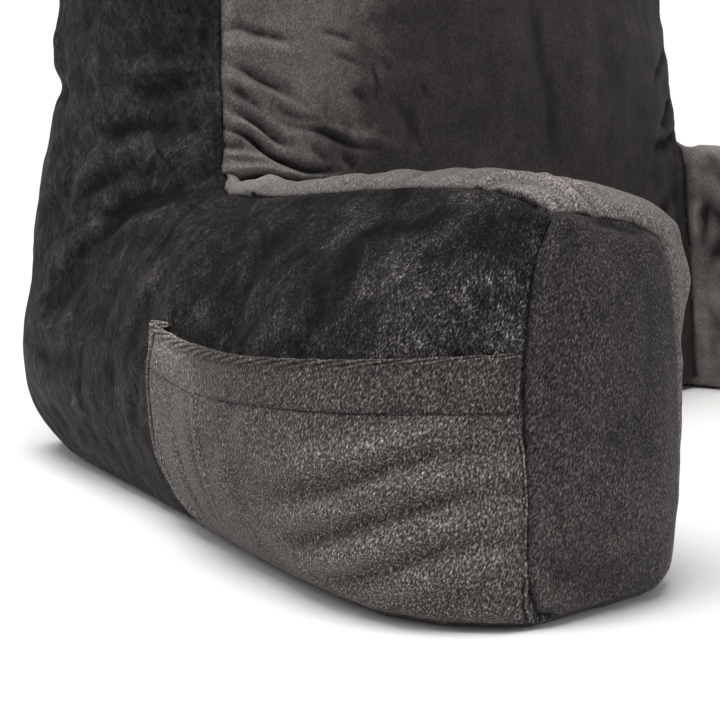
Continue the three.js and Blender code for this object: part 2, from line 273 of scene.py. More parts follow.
studio = bpy.data.worlds.new("studio")
bpy.context.scene.world = studio
backdrop = Finish(studio)
seen = backdrop.node("ShaderNodeLightPath", {}, {}, "Is Camera Ray")
glow = backdrop.node("ShaderNodeBackground", {}, {"Color": (1, 1, 1, 1), "Strength": 0.3 + seen * 0.75})
backdrop.node("ShaderNodeOutputWorld", {}, {"Surface": glow})

# ------- the sewn form

VOXEL = 6.0 * MM
PROUD = 0.4 * MM
SAME_SPOT = 1e-6
SEAM_REACH = 9 * MM
SIM_FRAMES = 20
HELD_NEAR = 3 * MM
HELD_FADE = 12 * MM
# The share kept of the simulation's fine and broad swelling, the rounds that part them, and the most of both.
SWELL_FINE = 0.42
SWELL_BROAD = 0.22
SWELL_ROUNDS = 60
SWELL_MOST = 11 * MM


def read(parts, name, width, kind=float):
    """A property of all parts of a mesh, as rows of a table."""
    table = np.empty(len(parts) * width, dtype=kind)
    parts.foreach_get(name, table)
    return table.reshape(-1, width)


def coordinates(mesh):
    return read(mesh.vertices, "co", 3)


def edge_table(mesh):
    return read(mesh.edges, "vertices", 2, int)


def evaluated_mesh(item):
    """A copy of an object's mesh with its modifiers worked in."""
    graph = bpy.context.evaluated_depsgraph_get()
    return bpy.data.meshes.new_from_object(item.evaluated_get(graph))


def applied(item):
    """Makes an object's modifiers part of its mesh."""
    mesh = evaluated_mesh(item)
    item.modifiers.clear()
    item.data = mesh
    return item


def closed_form():
    """One closed surface round every sewn panel, from merged copies of their solids."""
    whole = bmesh.new()
    for name in PANELS:
        panel = bmesh.new()
        panel.from_mesh(frame["nodes"][name].data)
        bmesh.ops.remove_doubles(panel, verts=panel.verts, dist=SAME_SPOT)
        panel.normal_update()
        for point in panel.verts:
            point.co += PROUD * point.normal
        mesh = bpy.data.meshes.new("panel_copy")
        panel.to_mesh(mesh)
        whole.from_mesh(mesh)
        panel.free()
    form = built("form", whole)
    given(form.modifiers.new("remesh", "REMESH"), mode="VOXEL", voxel_size=VOXEL)
    given(form.modifiers.new("smooth", "SMOOTH"), factor=0.5, iterations=6)
    return applied(form)


def fade(value, low, high):
    """0 at low, 1 at high, smooth between."""
    share = np.clip((value - low) / (high - low), 0, 1)
    return share * share * (3 - 2 * share)


def bell(value, middle, width, power=2):
    """1 at the middle, falling off on both sides over a width."""
    return np.exp(-(abs(value - middle) / width) ** power)


def tree_of(item):
    """A search on an object's faces."""
    work = bmesh.new()
    work.from_mesh(item.data)
    tree = BVHTree.FromBMesh(work)
    work.free()
    return tree


TREES = [tree_of(frame["nodes"][name]) for name in PANELS]


def distances(points):
    """How far each point is from each panel's solid."""
    return np.array([[tree.find_nearest(point)[3] for tree in TREES] for point in points])


def nearest(targets, points):
    """For each point, which of the targets is nearest, and how far off it is."""
    tree = kdtree.KDTree(len(targets))
    for number, target in enumerate(targets):
        tree.insert(target, number)
    tree.balance()
    found = [tree.find(point) for point in points]
    return np.array([item[1] for item in found]), np.array([item[2] for item in found])


def averaged(values, edges, rounds):
    """Each point's value evened out over its neighbours, a number of times."""
    count = np.bincount(edges.ravel(), minlength=len(values))[:, None]
    for _ in range(rounds):
        total = np.zeros_like(values)
        for axis in range(values.shape[1]):
            total[:, axis] = (
                np.bincount(edges[:, 0], values[edges[:, 1], axis], len(values))
                + np.bincount(edges[:, 1], values[edges[:, 0], axis], len(values)))
        values = 0.5 * values + 0.5 * total / count
    return values


def stuffed(form, seam_gap):
    """How far each point moves when the form is filled, with its seams held. Cloth under pressure."""
    rest = coordinates(form.data)
    held = np.clip(1 - (seam_gap - HELD_NEAR) / HELD_FADE, 0, 1)
    held[rest[:, 2] < HELD_NEAR] = 1
    group = form.vertex_groups.new(name="held")
    for weight in (0.25, 0.5, 0.75, 1.0):
        chosen = np.where((held > weight - 0.25) & (held <= weight))[0]
        group.add(chosen.tolist(), weight, "REPLACE")
    cloth = form.modifiers.new("stuffing", "CLOTH")
    given(
        cloth.settings, quality=4, mass=0.25, use_pressure=True, uniform_pressure_force=3.0,
        vertex_group_mass="held", tension_stiffness=8, compression_stiffness=8, shear_stiffness=3,
        bending_stiffness=0.15, shrink_min=-0.045, air_damping=4,
    )
    cloth.settings.effector_weights.gravity = 0
    cloth.point_cache.frame_end = SIM_FRAMES
    for number in range(1, SIM_FRAMES + 1):
        bpy.context.scene.frame_set(number)
    moved = coordinates(evaluated_mesh(form)) - rest
    form.modifiers.clear()
    bpy.context.scene.frame_set(1)
    broad = averaged(moved, edge_table(form.data), SWELL_ROUNDS)
    moved = (moved - broad) * SWELL_FINE + broad * SWELL_BROAD
    length = np.linalg.norm(moved, axis=1, keepdims=True) + 1e-9
    return moved * (SWELL_MOST * np.tanh(length / SWELL_MOST) / length)


def unevenness(points, size, seed):
    """Smooth seeded noise about 0, in bumps of a size."""
    spots = points / size + seed
    return np.array([noise.noise(spot) for spot in spots])


def subdivided(form, places):
    """The form's mesh with its points at places, each face split in four and rounded over."""
    form.data.vertices.foreach_set("co", places.ravel())
    form.data.update()
    given(form.modifiers.new("split", "SUBSURF"), levels=1, render_levels=1)
    mesh = evaluated_mesh(form)
    form.modifiers.clear()
    return mesh


form = closed_form()
rest = coordinates(form.data)
edges = edge_table(form.data)
label = distances(rest).argmin(1)
crossing = edges[label[edges[:, 0]] != label[edges[:, 1]]]
seam_spots = (rest[crossing[:, 0]] + rest[crossing[:, 1]]) / 2
seam_gap = nearest(seam_spots, rest)[1]
swell = stuffed(form, seam_gap)

fine = subdivided(form, rest)
swollen = coordinates(subdivided(form, rest + swell))
stored = fine.attributes.new("swollen", "FLOAT_VECTOR", "POINT")
stored.data.foreach_set("vector", swollen.ravel())
bpy.data.objects.remove(form)

# Boxes where the folds are finer than the mesh: the front beside the left arm, and the left arm's top.
# The second list is split once more, for the sharpest creases.
FINE_ZONES = [
    ((-0.23, -0.13, 0.15), (-0.07, -0.03, 0.30)),
    ((-0.34, -0.40, 0.155), (-0.20, -0.07, 0.21)),
]
FINEST_ZONES = [
    ((-0.215, -0.13, 0.155), (-0.12, -0.04, 0.238)),
    ((-0.325, -0.39, 0.155), (-0.262, -0.312, 0.20)),
]


def split_where(work, close):
    """Splits every edge with both ends chosen, and leaves triangles."""
    work.verts.index_update()
    chosen = [edge for edge in work.edges if close[edge.verts[0].index] and close[edge.verts[1].index]]
    bmesh.ops.subdivide_edges(work, edges=chosen, cuts=1, use_grid_fill=True)
    bmesh.ops.triangulate(work, faces=[face for face in work.faces if len(face.verts) > 3])


def inside_zones(work, zones):
    spots = np.array([point.co for point in work.verts])
    inside = np.zeros(len(spots), dtype=bool)
    for low, high in zones:
        inside |= ((spots > np.array(low)) & (spots < np.array(high))).all(1)
    return inside


def make_sewn_mesh(mesh, seam_spots):
    """Turns the fine mesh into triangles, smaller along the seams and where the folds are fine."""
    work = bmesh.new()
    work.from_mesh(mesh)
    bmesh.ops.triangulate(work, faces=work.faces, quad_method="FIXED")
    gap = nearest(seam_spots, [point.co for point in work.verts])[1]
    split_where(work, (gap < SEAM_REACH) | inside_zones(work, FINE_ZONES))
    split_where(work, inside_zones(work, FINEST_ZONES))
    work.to_mesh(mesh)
    work.free()


make_sewn_mesh(fine, seam_spots)
REST = coordinates(fine)
SWOLLEN = read(fine.attributes["swollen"].data, "vector", 3)
EDGES = edge_table(fine)
FACES = read(fine.polygons, "vertices", 3, int)


def snapped_seams(label, allowed):
    """Moves the nearer end of each edge that crosses a seam onto it. Gives which points moved."""
    ends = EDGES[label[EDGES[:, 0]] != label[EDGES[:, 1]]]
    ends = ends[allowed[ends[:, 0]] & allowed[ends[:, 1]]]
    first, second = ends[:, 0], ends[:, 1]
    lean_first = GAPS[first, label[first]] - GAPS[first, label[second]]
    lean_second = GAPS[second, label[first]] - GAPS[second, label[second]]
    share = np.clip(lean_first / np.minimum(lean_first - lean_second, -1e-9), 0, 1)
    mover = np.where(share < 0.5, first, second)
    other = np.where(share < 0.5, second, first)
    step = np.where(share < 0.5, share, 1 - share)
    order = np.argsort(-step)
    chosen = np.full(len(REST), -1)
    chosen[mover[order]] = order
    moving = np.where(chosen >= 0)[0]
    picked = chosen[moving]
    for table in (REST, SWOLLEN):
        table[moving] += (table[other[picked]] - table[mover[picked]]) * step[picked][:, None]
    return moving


# Each point belongs to the panel it is nearest to. The skins reach a little further than the pads.
SKIN_LEAD = 0.8 * MM
GAPS = distances(REST)
GAPS[:, :len(PADS)] += SKIN_LEAD
# At the arms' fronts the side cloth's front edge leans, and its top edge reaches up under the arm's top.
LEAN_HEIGHTS = [55, 80, 105, 135, 150, 170]
LEAN_AMOUNTS = [-1.6, 0.0, 2.0, 1.6, 0.8, 0.4]
TOP_LEAN = 1.7
FRONTWARD = fade(-REST[:, 1], 340 * MM, 362 * MM)
TOPWARD = fade(REST[:, 2], 160 * MM, 168 * MM) * fade(-REST[:, 1], 290 * MM, 330 * MM) * (1 - FRONTWARD)
EDGE_LEAN = np.interp(REST[:, 2] / MM, LEAN_HEIGHTS, LEAN_AMOUNTS) * FRONTWARD - TOP_LEAN * TOPWARD
for name in ("side_panel_left", "side_panel_right"):
    GAPS[:, PANELS.index(name)] += EDGE_LEAN * MM
LABEL = GAPS.argmin(1)
PAD_LABEL = GAPS[:, :len(PADS)].argmin(1)
ON_SEAM = np.zeros(len(REST), dtype=bool)
ON_SEAM[snapped_seams(LABEL, ~ON_SEAM)] = True
HIDDEN_SEAM = ON_SEAM.copy()
HIDDEN_SEAM[snapped_seams(PAD_LABEL, ~ON_SEAM)] = True


def face_labels(label, fixed, gaps):
    """Each triangle's panel: that of its points off the seam, or of its middle if all are on it."""
    named = np.where(fixed[FACES], -1, label[FACES]).max(1)
    middle = gaps[FACES].sum(1).argmin(1)
    return np.where(named < 0, middle, named)


FACE_LABEL = face_labels(LABEL, ON_SEAM, GAPS)
FACE_PAD = face_labels(PAD_LABEL, HIDDEN_SEAM, GAPS[:, :len(PADS)])
FACE_PAD = np.where(FACE_LABEL < len(PADS), FACE_LABEL, FACE_PAD)

# ------- seams, puckers and folds


def normals_of(places):
    """The way the form faces at each point, with its points at places."""
    fine.vertices.foreach_set("co", places.ravel())
    fine.update()
    return read(fine.vertex_normals, "vector", 3)


def points_of(panel):
    """Which of the form's points a panel has."""
    inside = np.zeros(len(REST), dtype=bool)
    inside[FACES[FACE_LABEL == PANELS.index(panel)].ravel()] = True
    return inside


NORMAL = averaged(normals_of(SWOLLEN), EDGES, 3)
NORMAL /= np.linalg.norm(NORMAL, axis=1, keepdims=True)
seam_points = np.where(ON_SEAM)[0]
SEAM_OF, SEAM_GAP = nearest(REST[seam_points], REST)
SEAM_SPOT = REST[seam_points][SEAM_OF]


# Folds are drawn on a panel as seen square on, in millimetres: (half width, height, lean, its line's points).
# A height below 0 is a trough, and a lean widens the flank to the left of the line. Axes: side panels (y, z),
# front (x, z), arm top (x, y), arm end (x, z).
FOLDS = {}
FOLDS["side_panel_left", "-X"] = [
    (7, 2.2, 0.2, 2, 229, -25, 226, -50, 227), (6, -1.8, 0, 0, 216, -30, 214, -52, 218),
    (8, 3.4, 0.3, -50, 183, -20, 177, 16, 172, 32, 150), (7, -2.4, 0, -55, 196, -20, 192, 20, 190),
    (8, -5, -0.3, -70, 167, -45, 160, -15, 152, 4, 133), (7, 2.4, 0, -100, 158, -60, 151, -25, 141),
    (9, 3, 0.3, 0, 144, 18, 126, 36, 108), (8, -2.6, 0, -22, 132, 2, 112, 26, 88),
    (9, -2.4, 0.3, 52, 200, 34, 160, 48, 118), (8, -3.5, 0, 86, 216, 70, 212, 50, 208),
    (15, 4.2, 0, 82, 290, 82, 258, 80, 234), (9, 3.2, 0, 80, 246, 76, 232, 72, 220),
    (3, 1.2, 0.2, -2, 227, -24, 224, -46, 227), (2.2, -3.6, 0, -332, 179, -347, 178, -359, 176, -367, 174),
    (2.4, 1.4, 0, -47, 181, -15, 180, 16, 172, 30, 151),
    (2.4, 1.3, 0, -67, 167, -42, 158, -15, 152, 3, 134), (2.4, 1.3, 0, -5, 142, 16, 126, 33, 111),
    (2.4, 1.1, 0, 30, 143, 14, 152, -20, 166), (2.4, -1.3, 0, 38, 128, 6, 142, -14, 154),
    (2.6, 1.2, 0, 40, 95, 36, 106, 32, 114), (2.6, 1.2, 0, 70, 212, 52, 222, 34, 230),
    (2.4, 1.2, 0, -67, 132, -65, 148, -62, 161), (2.4, -1.4, 0, -76, 128, -73, 146, -68, 158),
    (14, 2.6, 0, 88, 184, 84, 160, 84, 124), (3, -1.4, 0, -52, 218, -54, 200),
    (3, -1, 0, -44, 214, -47, 198), (3, -1.5, 0, -50, 248, -53, 226),
    (3.5, -1.2, 0, -41, 262, -44, 240), (9, 2, 0.2, 60, 96, 20, 84, -26, 92),
    (8, -2, 0, 66, 76, 24, 62, -30, 70), (8, 1.8, 0, 50, 52, 6, 44, -50, 54, -96, 58),
    (8, -1.8, 0, 30, 30, -20, 24, -70, 32), (10, 1.8, 0, -70, 128, -100, 112, -136, 108),
    (12, -2, 0, -120, 152, -150, 132, -190, 118), (13, -1.6, 0, -210, 154, -250, 140, -282, 122),
    (10, 1.4, 0, -240, 158, -290, 150, -330, 132), (6, -1.2, 0, -345, 172, -352, 150, -350, 124),
    (6, -1, 0, -318, 170, -326, 146), (9, -2.2, 0, 20, 330, -10, 300, -38, 292),
    (10, 2.2, 0, 60, 280, 30, 262, -8, 258), (8, 1.8, 0, 40, 360, 10, 340, -20, 338),
]
FOLDS["backrest", "-Y"] = [
    (3, -2.4, 0.2, -206, 246, -196, 249, -188, 246, -170, 241),
    (4.5, 1.6, 0, -207, 238, -190, 240, -165, 233),
    (3.2, -4.2, 0.3, -205, 228, -195, 224, -181, 217, -168, 207), (3, -1.8, 0, -207, 215, -196, 210),
    (3.2, 1.8, 0, -209, 221, -190, 214), (3.2, -4.2, 0.3, -207, 206, -198, 198, -186, 191, -174, 185),
    (3.6, 2.2, 0, -206, 199, -190, 188), (2.4, -2.8, 0, -180, 206, -166, 199, -154, 195),
    (3.6, -3, 0.2, -182, 202, -168, 196, -150, 188, -122, 180),
    (3, 2.2, 0.2, -176, 202, -158, 195, -132, 187, -106, 181), (3, -2.4, 0, -164, 183, -153, 173),
    (3, -2, 0, -146, 178, -136, 169),
    (2, -6, 0.4, -208, 194, -197, 186, -184, 176.5, -172, 171.5, -150, 169),
    (2.2, 2.6, 0, -210, 181, -198, 179, -188, 176), (2, -1.8, 0, -212, 186, -200, 182),
    (3.4, 3.4, 0, -212, 172, -196, 173, -178, 170, -160, 168),
    (2, -5, 0, -212, 167, -196, 167, -176, 166, -156, 166), (3, -1.6, 0, -97, 204, -92, 190, -88, 178),
    (2.6, -2, 0, -207, 218, -198, 213, -189, 205), (2.2, -1.6, 0, -150, 246, -138, 244, -127, 240),
    (2.4, -1.4, 0, -143, 232, -128, 227), (2.6, -1.6, 0, -118, 226, -116, 214, -119, 204),
    (2.8, -1.4, 0, -104, 206, -98, 196, -94, 182), (2.6, -1.4, 0, -134, 214, -126, 206),
    (3, -1.2, 0, -108, 233, -106, 222), (3, -1.2, 0, -85, 217, -82, 207),
    (9, -2, 0, 18, 262, 24, 215, 26, 175), (10, 1.6, 0, 74, 256, 68, 214, 60, 174),
    (14, -2.2, 0.2, -140, 300, -60, 284, 30, 292, 110, 282),
    (15, 2, 0, -150, 348, -70, 338, 20, 350, 130, 340), (5, -2.8, 0.2, -200, 292, -178, 286, -150, 272),
    (5, -2.4, 0, -198, 322, -176, 314, -154, 312), (5, -2.6, 0.2, -192, 356, -170, 352, -150, 340),
    (5, -3, -0.2, 200, 236, 180, 226, 160, 212), (5, -3.4, 0.2, 203, 204, 184, 192, 166, 186),
    (4.5, -4, 0.3, 205, 182, 186, 176, 150, 170), (5, -2.6, 0.2, 198, 288, 176, 282, 156, 268),
    (5, -2.4, 0, 194, 330, 172, 322, 150, 322), (16, -2.4, 0.2, -120, 150, -60, 120, 10, 110, 90, 118),
    (15, 2, 0, -150, 80, -80, 66, 0, 74, 90, 64), (6, -2.6, 0, -190, 140, -160, 128, -128, 104),
    (6, -2.6, 0, 190, 140, 158, 126, 130, 106),
]
FOLDS["arm_left", "+Z"] = [
    (4, 5, 0.2, -293, -314, -282, -321, -279, -330, -284, -346, -290, -362, -288, -374),
    (5, 2.4, 0, -298, -324, -294, -338, -298, -352, -300, -362),
    (2.4, -4.4, 0, -270, -320, -271, -330, -276, -342, -282, -358, -280, -372),
    (3, 2.4, 0, -258, -312, -264, -328, -270, -343, -276, -359, -274, -372),
    (2.6, -2.6, 0, -250, -316, -256, -332, -263, -348, -268, -364),
    (2, -5.5, 0, -300, -336, -304, -347, -307, -359, -308, -368), (1.6, -2.4, 0, -299, -362, -301, -368),
    (4, -1.8, 0, -250, -194, -240, -204), (10, -1.2, 0, -285, -240, -262, -252, -240, -246),
    (8, 1.2, 0, -292, -292, -266, -290, -236, -300),
    (10, 4.6, 0, -204, -78, -214, -94, -221, -110, -226, -122),
]
FOLDS["arm_left", "+X"] = [
    (9, 2, 0, -376, 138, -350, 128, -318, 132), (8, -3, 0.2, -380, 112, -350, 104, -310, 108),
    (10, 2, 0, -376, 84, -340, 80, -300, 92), (12, -2.2, 0, -200, 140, -230, 110, -240, 60),
    (11, -2.4, 0, -120, 120, -150, 92, -150, 40), (14, 2, 0, -100, 60, -170, 44, -240, 50),
]
FOLDS["arm_right", "-X"] = [
    (3, -2.6, 0, -79, 124, -82, 110, -85, 96), (3, 2, 0, -88, 134, -86, 118, -83, 104),
    (3, -1.8, 0, -94, 130, -92, 112, -90, 98), (8, -3.4, 0.3, -92, 132, -112, 112, -96, 88),
    (8, -2.4, 0, -98, 152, -140, 136, -176, 142), (10, 2, 0, -90, 60, -130, 64, -180, 54),
    (12, -2.2, 0, -200, 140, -230, 106, -236, 60), (11, -2, 0, -330, 140, -300, 120, -290, 70),
]
FOLDS["arm_right", "+Z"] = [
    (10, 3, 0, 214, -78, 218, -92, 220, -106), (8, 1.8, 0, 280, -300, 252, -312, 236, -340),
    (5, -2.4, 0, 226, -100, 240, -110),
]
FOLDS["arm_end_left", "-Y"] = [
    (3.2, -3.2, 0, -290, 166, -276, 165, -262, 163, -250, 160),
    (5, -1.4, 0, -312, 166, -304, 162, -300, 154), (12, 1.2, 0, -300, 140, -296, 90, -304, 40),
    (9, -1.2, 0, -266, 150, -262, 110, -270, 70), (8, 1.2, 0, -282, 60, -262, 44, -246, 46),
    (7, -1.2, 0, -310, 26, -284, 20, -254, 26),
]
FOLDS["arm_end_right", "-Y"] = [
    (5, -1.6, 0, 308, 164, 286, 160, 262, 164), (12, 1.2, 0, 300, 140, 292, 96, 304, 44),
    (9, -1.4, 0, 262, 130, 268, 90, 260, 50),
]
FOLDS["side_panel_right", "+X"] = [
    (8, 3, 0.3, -50, 183, -16, 174, 26, 168), (8, -4.4, -0.3, -70, 168, -40, 158, -6, 140),
    (9, 2.8, 0.3, 4, 140, 26, 116, 60, 104), (8, -2.4, 0, -20, 128, 8, 104, 20, 78),
    (9, -2.4, 0, 60, 240, 20, 226, -40, 232), (9, 2.2, 0, 50, 300, 10, 286, -30, 292),
    (12, -2.4, 0, -120, 150, -160, 128, -220, 118), (14, 2.2, 0, -100, 80, -180, 60, -260, 74),
    (11, -2, 0, -300, 150, -330, 120, -340, 70), (9, -1.8, 0, -160, 30, -230, 24, -300, 36),
]
FOLDS["backrest", "+Y"] = [
    (18, -2.6, 0.2, -160, 330, -60, 312, 50, 322, 150, 308),
    (18, 2.4, 0, -150, 210, -50, 190, 60, 200, 160, 186),
    (17, -2.4, 0.2, -140, 110, -40, 96, 70, 108, 150, 90), (6, -2.8, 0, -190, 260, -170, 252, -140, 256),
    (6, -2.6, 0, -192, 160, -170, 150, -144, 158), (6, -2.8, 0, 190, 280, 168, 270, 140, 276),
    (6, -2.6, 0, 192, 150, 172, 146, 150, 132),
]


def softened(line):
    """A line's corners cut off three times, so it bends smoothly."""
    line = np.reshape(line, (-1, 2)).astype(float)
    for _ in range(3):
        first, second = line[:-1], line[1:]
        cut = np.stack([0.75 * first + 0.25 * second, 0.25 * first + 0.75 * second], 1).reshape(-1, 2)
        line = np.vstack([line[:1], cut, line[-1:]])
    return line


def stroke(spots, line, width, lean):
    """How far each spot is under a soft line: 1 on it, 0 beside it, fading at both ends."""
    line = softened(line)
    low, high = line.min(0) - 3 * width, line.max(0) + 3 * width
    inside = np.where(((spots > low) & (spots < high)).all(1))[0]
    near_spots = spots[inside]
    best = np.full(len(inside), 1e9)
    signed = place = np.zeros(len(inside))
    lengths = np.linalg.norm(line[1:] - line[:-1], axis=1)
    start = 0.0
    for first, second, length in zip(line[:-1], line[1:], lengths):
        along = (second - first) / max(length, 1e-9)
        offset = near_spots - first
        reach = np.clip(offset @ along, 0, length)
        apart = offset - reach[:, None] * along
        away = np.linalg.norm(apart, axis=1)
        closer = away < best
        side = np.sign(along[0] * apart[:, 1] - along[1] * apart[:, 0])
        best = np.where(closer, away, best)
        signed = np.where(closer, side, signed)
        place = np.where(closer, (start + reach) / lengths.sum(), place)
        start += length
    ends = fade(place, -0.15, 0.3) * fade(1 - place, -0.15, 0.3)
    amount = np.zeros(len(spots))
    amount[inside] = bell(best, 0, width * (1 + lean * signed)) * ends
    return amount


def strokes(spots, folds, unit=1.0):
    """The height that a list of folds gives each spot."""
    total = np.zeros(len(spots))
    for width, rise, lean, *line in folds:
        total += rise * unit * stroke(spots, line, width, lean)
    return total


WOBBLE = 3.0
WOBBLE_SIZE = 22 * MM


def folded(normal):
    """The height that the drawn folds give each point."""
    height = np.zeros(len(REST))
    for (panel, facing), folds in FOLDS.items():
        axis = "XYZ".index(facing[1])
        plane = [other for other in range(3) if other != axis]
        towards = normal[:, axis] * (1 if facing[0] == "+" else -1)
        chosen = np.where((LABEL == PANELS.index(panel)) & (towards > 0.05))[0]
        wobble = np.stack([unevenness(REST[chosen], WOBBLE_SIZE, seed) for seed in (3.7, 9.1)], 1)
        spots = REST[chosen][:, plane] / MM + WOBBLE * wobble
        height[chosen] += strokes(spots, folds, MM) * fade(towards[chosen], 0.05, 0.5)
    return height


# Seams: how deep each is drawn in, and how strongly the cloth puckers beside it.
USUAL_SEAM = 2.0, 0.8
SEAMS = {
    ("backrest", "side_panel_left"): (2.0, 1.5),
    ("backrest", "side_panel_right"): (2.0, 1.8),
    ("backrest", "arm_left"): (1.5, 1.6),
    ("backrest", "arm_right"): (2.5, 1.8),
    ("backrest", "top_band"): (2.0, 1.8),
    ("side_panel_left", "arm_end_left"): (2.0, 0.7),
    ("side_panel_right", "arm_end_right"): (2.0, 0.7),
    ("arm_left", "arm_end_left"): (2.0, 0.9),
    ("arm_right", "arm_end_right"): (2.0, 0.9),
}
SEAM_WIDTH = 3.2
ROLL_HEIGHT, ROLL_GAP, ROLL_WIDTH = 0.5, 6.5, 3.5


def seam_values():
    """How deep and how puckered the seam nearest each point is."""
    touched = {name: points_of(name)[seam_points][SEAM_OF] for name in PANELS}
    values = np.full((len(REST), 2), USUAL_SEAM)
    for (first, second), pair in SEAMS.items():
        values[touched[first] & touched[second]] = pair
    return averaged(values, EDGES, 12).T


def seam_relief():
    """The groove of each seam, the roll of cloth beside it and the puckers that run off it."""
    gap = SEAM_GAP / MM
    depth, strength = seam_values()
    groove = -depth * bell(gap, 0, SEAM_WIDTH, 1.4)
    roll = ROLL_HEIGHT * bell(gap, ROLL_GAP, ROLL_WIDTH)
    beat = unevenness(SEAM_SPOT, 17 * MM, 1.3) + 0.6 * unevenness(SEAM_SPOT, 8 * MM, 5.9)
    drift = np.clip(unevenness(REST, 60 * MM, 2.2) + 0.7, 0.2, 1.3)
    reach = 12 + 16 * np.clip(unevenness(SEAM_SPOT, 30 * MM, 7.7) + 0.5, 0, 1)
    pucker = strength * beat * np.exp(-gap / reach) * fade(gap, 0, 5) * drift
    return (groove + roll + pucker) * MM


# Height, size and seed of each unevenness.
RUMPLES = [(2.2, 85 * MM, 4.1), (1.2, 40 * MM, 8.3), (0.45, 14 * MM, 6.6)]


def rumple():
    """Slight unevenness of the filling and of the cloth over it."""
    total = sum(height * unevenness(REST, size, seed) for height, size, seed in RUMPLES)
    return total * MM * fade(SEAM_GAP, 0, 20 * MM) * fade(REST[:, 2], 0, 12 * MM)


# Folds don't press the foot of the form into the floor.
FLOOR_ZONE = 1.5 * MM
FLOOR_GAP = 0.1 * MM
FOLD_HEIGHT = folded(NORMAL)
RELIEF = FOLD_HEIGHT + seam_relief() + rumple()
RELIEF = np.where(REST[:, 2] < FLOOR_ZONE, np.minimum(RELIEF, 0), RELIEF)
FINAL = SWOLLEN + NORMAL * RELIEF[:, None]
FINAL[:, 2] = np.maximum(FINAL[:, 2], FLOOR_GAP)
NORMAL = normals_of(FINAL)

# Painted light and shade in the cloth's colour: painted highlights on ridges, painted shade in troughs and
# seams, and a painted highlight along the side cloth's edge.
curve = averaged(FINAL, EDGES, 10) - FINAL
ridge = np.clip(-(curve * NORMAL).sum(1) / MM, -1, 1)
RIDGE_LIGHT, TROUGH_DARK, SEAM_DARK = 0.35, 0.6, 0.4
EDGE_LIGHT, EDGE_GAP, EDGE_WIDTH = 0.7, 2.4, 1.1
SHADE = np.where(ridge > 0, RIDGE_LIGHT, TROUGH_DARK) * ridge + np.clip(FOLD_HEIGHT / MM * 0.1, -0.5, 0.3)
SHADE -= SEAM_DARK * bell(SEAM_GAP / MM, 0, 1.0)
side_cloth = np.isin(LABEL, [PANELS.index(name) for name in SKINS if name.startswith("side")])
SHADE += EDGE_LIGHT * side_cloth * bell(SEAM_GAP / MM, EDGE_GAP, EDGE_WIDTH)
SHADE = np.clip(SHADE, -0.85, 0.9)

# ------- the panels as pieces

SKIN_THICK = 2.2 * MM
SKIN_EDGE = 0.3 * MM
SKIN_STEPS = 20
UNDER = 0.5 * MM
EDGE_UNDER = 0.6 * MM


def skin_thickness(gap):
    return np.clip(SKIN_EDGE + gap * 0.5, SKIN_EDGE, SKIN_THICK)


def piece_from(name, faces, places):
    """A new object from some of the form's triangles, with its points at places. Gives which points too."""
    used, numbers = np.unique(faces, return_inverse=True)
    mesh = bpy.data.meshes.new(name)
    mesh.from_pydata(places[used].tolist(), [], numbers.reshape(-1, 3).tolist())
    # The painted shade and highlights, which the finish multiplies into the cloth's colour.
    painted_shading = mesh.attributes.new("painted_shading", "FLOAT", "POINT")
    painted_shading.data.foreach_set("value", SHADE[used])
    return linked(name, mesh), used


def walled(item, thickness, offset):
    """Gives a sheet of cloth its thickness. The group it returns holds each point's share of it."""
    group = item.vertex_groups.new(name="thickness")
    wall = item.modifiers.new("wall", "SOLIDIFY")
    given(wall, thickness=thickness, offset=offset, vertex_group=group.name)
    return group


def finished(item, node, material=None):
    """Gives a piece its finish, fixes it to what it rides on in the frame, and hides the frame's part that it
    stands for.
    """
    slot = SLOTS[node or "pocket"]
    item.data.materials.clear()
    item.data.materials.append(material or FINISHES[slot])
    item.data.polygons.foreach_set("use_smooth", [True] * len(item.data.polygons))
    item.data.update()
    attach(item, "root")
    if node is not None:
        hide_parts(node)
    return item


def skin(name):
    """A sewn panel of cloth, of its own thickness, thinner at its turned edges."""
    item, used = piece_from(name + "_cloth", FACES[FACE_LABEL == PANELS.index(name)], FINAL)
    share = skin_thickness(SEAM_GAP[used]) / SKIN_THICK
    group = walled(item, SKIN_THICK, -1)
    for step in range(1, SKIN_STEPS + 1):
        chosen = np.where(np.ceil(share * SKIN_STEPS) == step)[0]
        group.add(chosen.tolist(), step / SKIN_STEPS, "REPLACE")
    return applied(item)


def capped(work):
    """Closes a mesh's open edges. Gives the new faces."""
    before = set(work.faces)
    bmesh.ops.holes_fill(work, edges=[edge for edge in work.edges if edge.is_boundary], sides=0)
    return [face for face in work.faces if face not in before]


def padding(name):
    """A filled part of the pillow: its own cloth where that shows, and its cover under the side cloth."""
    shown = points_of(name)
    depth = np.where(shown, 0, skin_thickness(SEAM_GAP) + UNDER)
    depth += np.where(HIDDEN_SEAM & ~shown, EDGE_UNDER, 0)
    faces = FACES[FACE_PAD == PANELS.index(name)]
    item, _ = piece_from(name + "_cushion", faces, FINAL - NORMAL * depth[:, None])
    work = bmesh.new()
    work.from_mesh(item.data)
    bmesh.ops.triangulate(work, faces=capped(work))
    bmesh.ops.recalc_face_normals(work, faces=work.faces)
    work.to_mesh(item.data)
    work.free()
    return item


def front_nap_and_painted_light(cloth, places):
    """The front is lighter towards the left arm, more of it higher up: partly the nap's lie and partly painted
    light.
    """
    right, ahead, height = cloth.axes(places)
    edge = right * -1 - 0.150 + (height - 0.19) * 0.6
    ragged = edge + (cloth.clouds(places, 0.03, 5, 0.6) - 0.5) * 0.12
    return 1 + cloth.between(ragged, -0.025, 0.03) * cloth.between(ahead, 0.0, 0.04) * 2.75


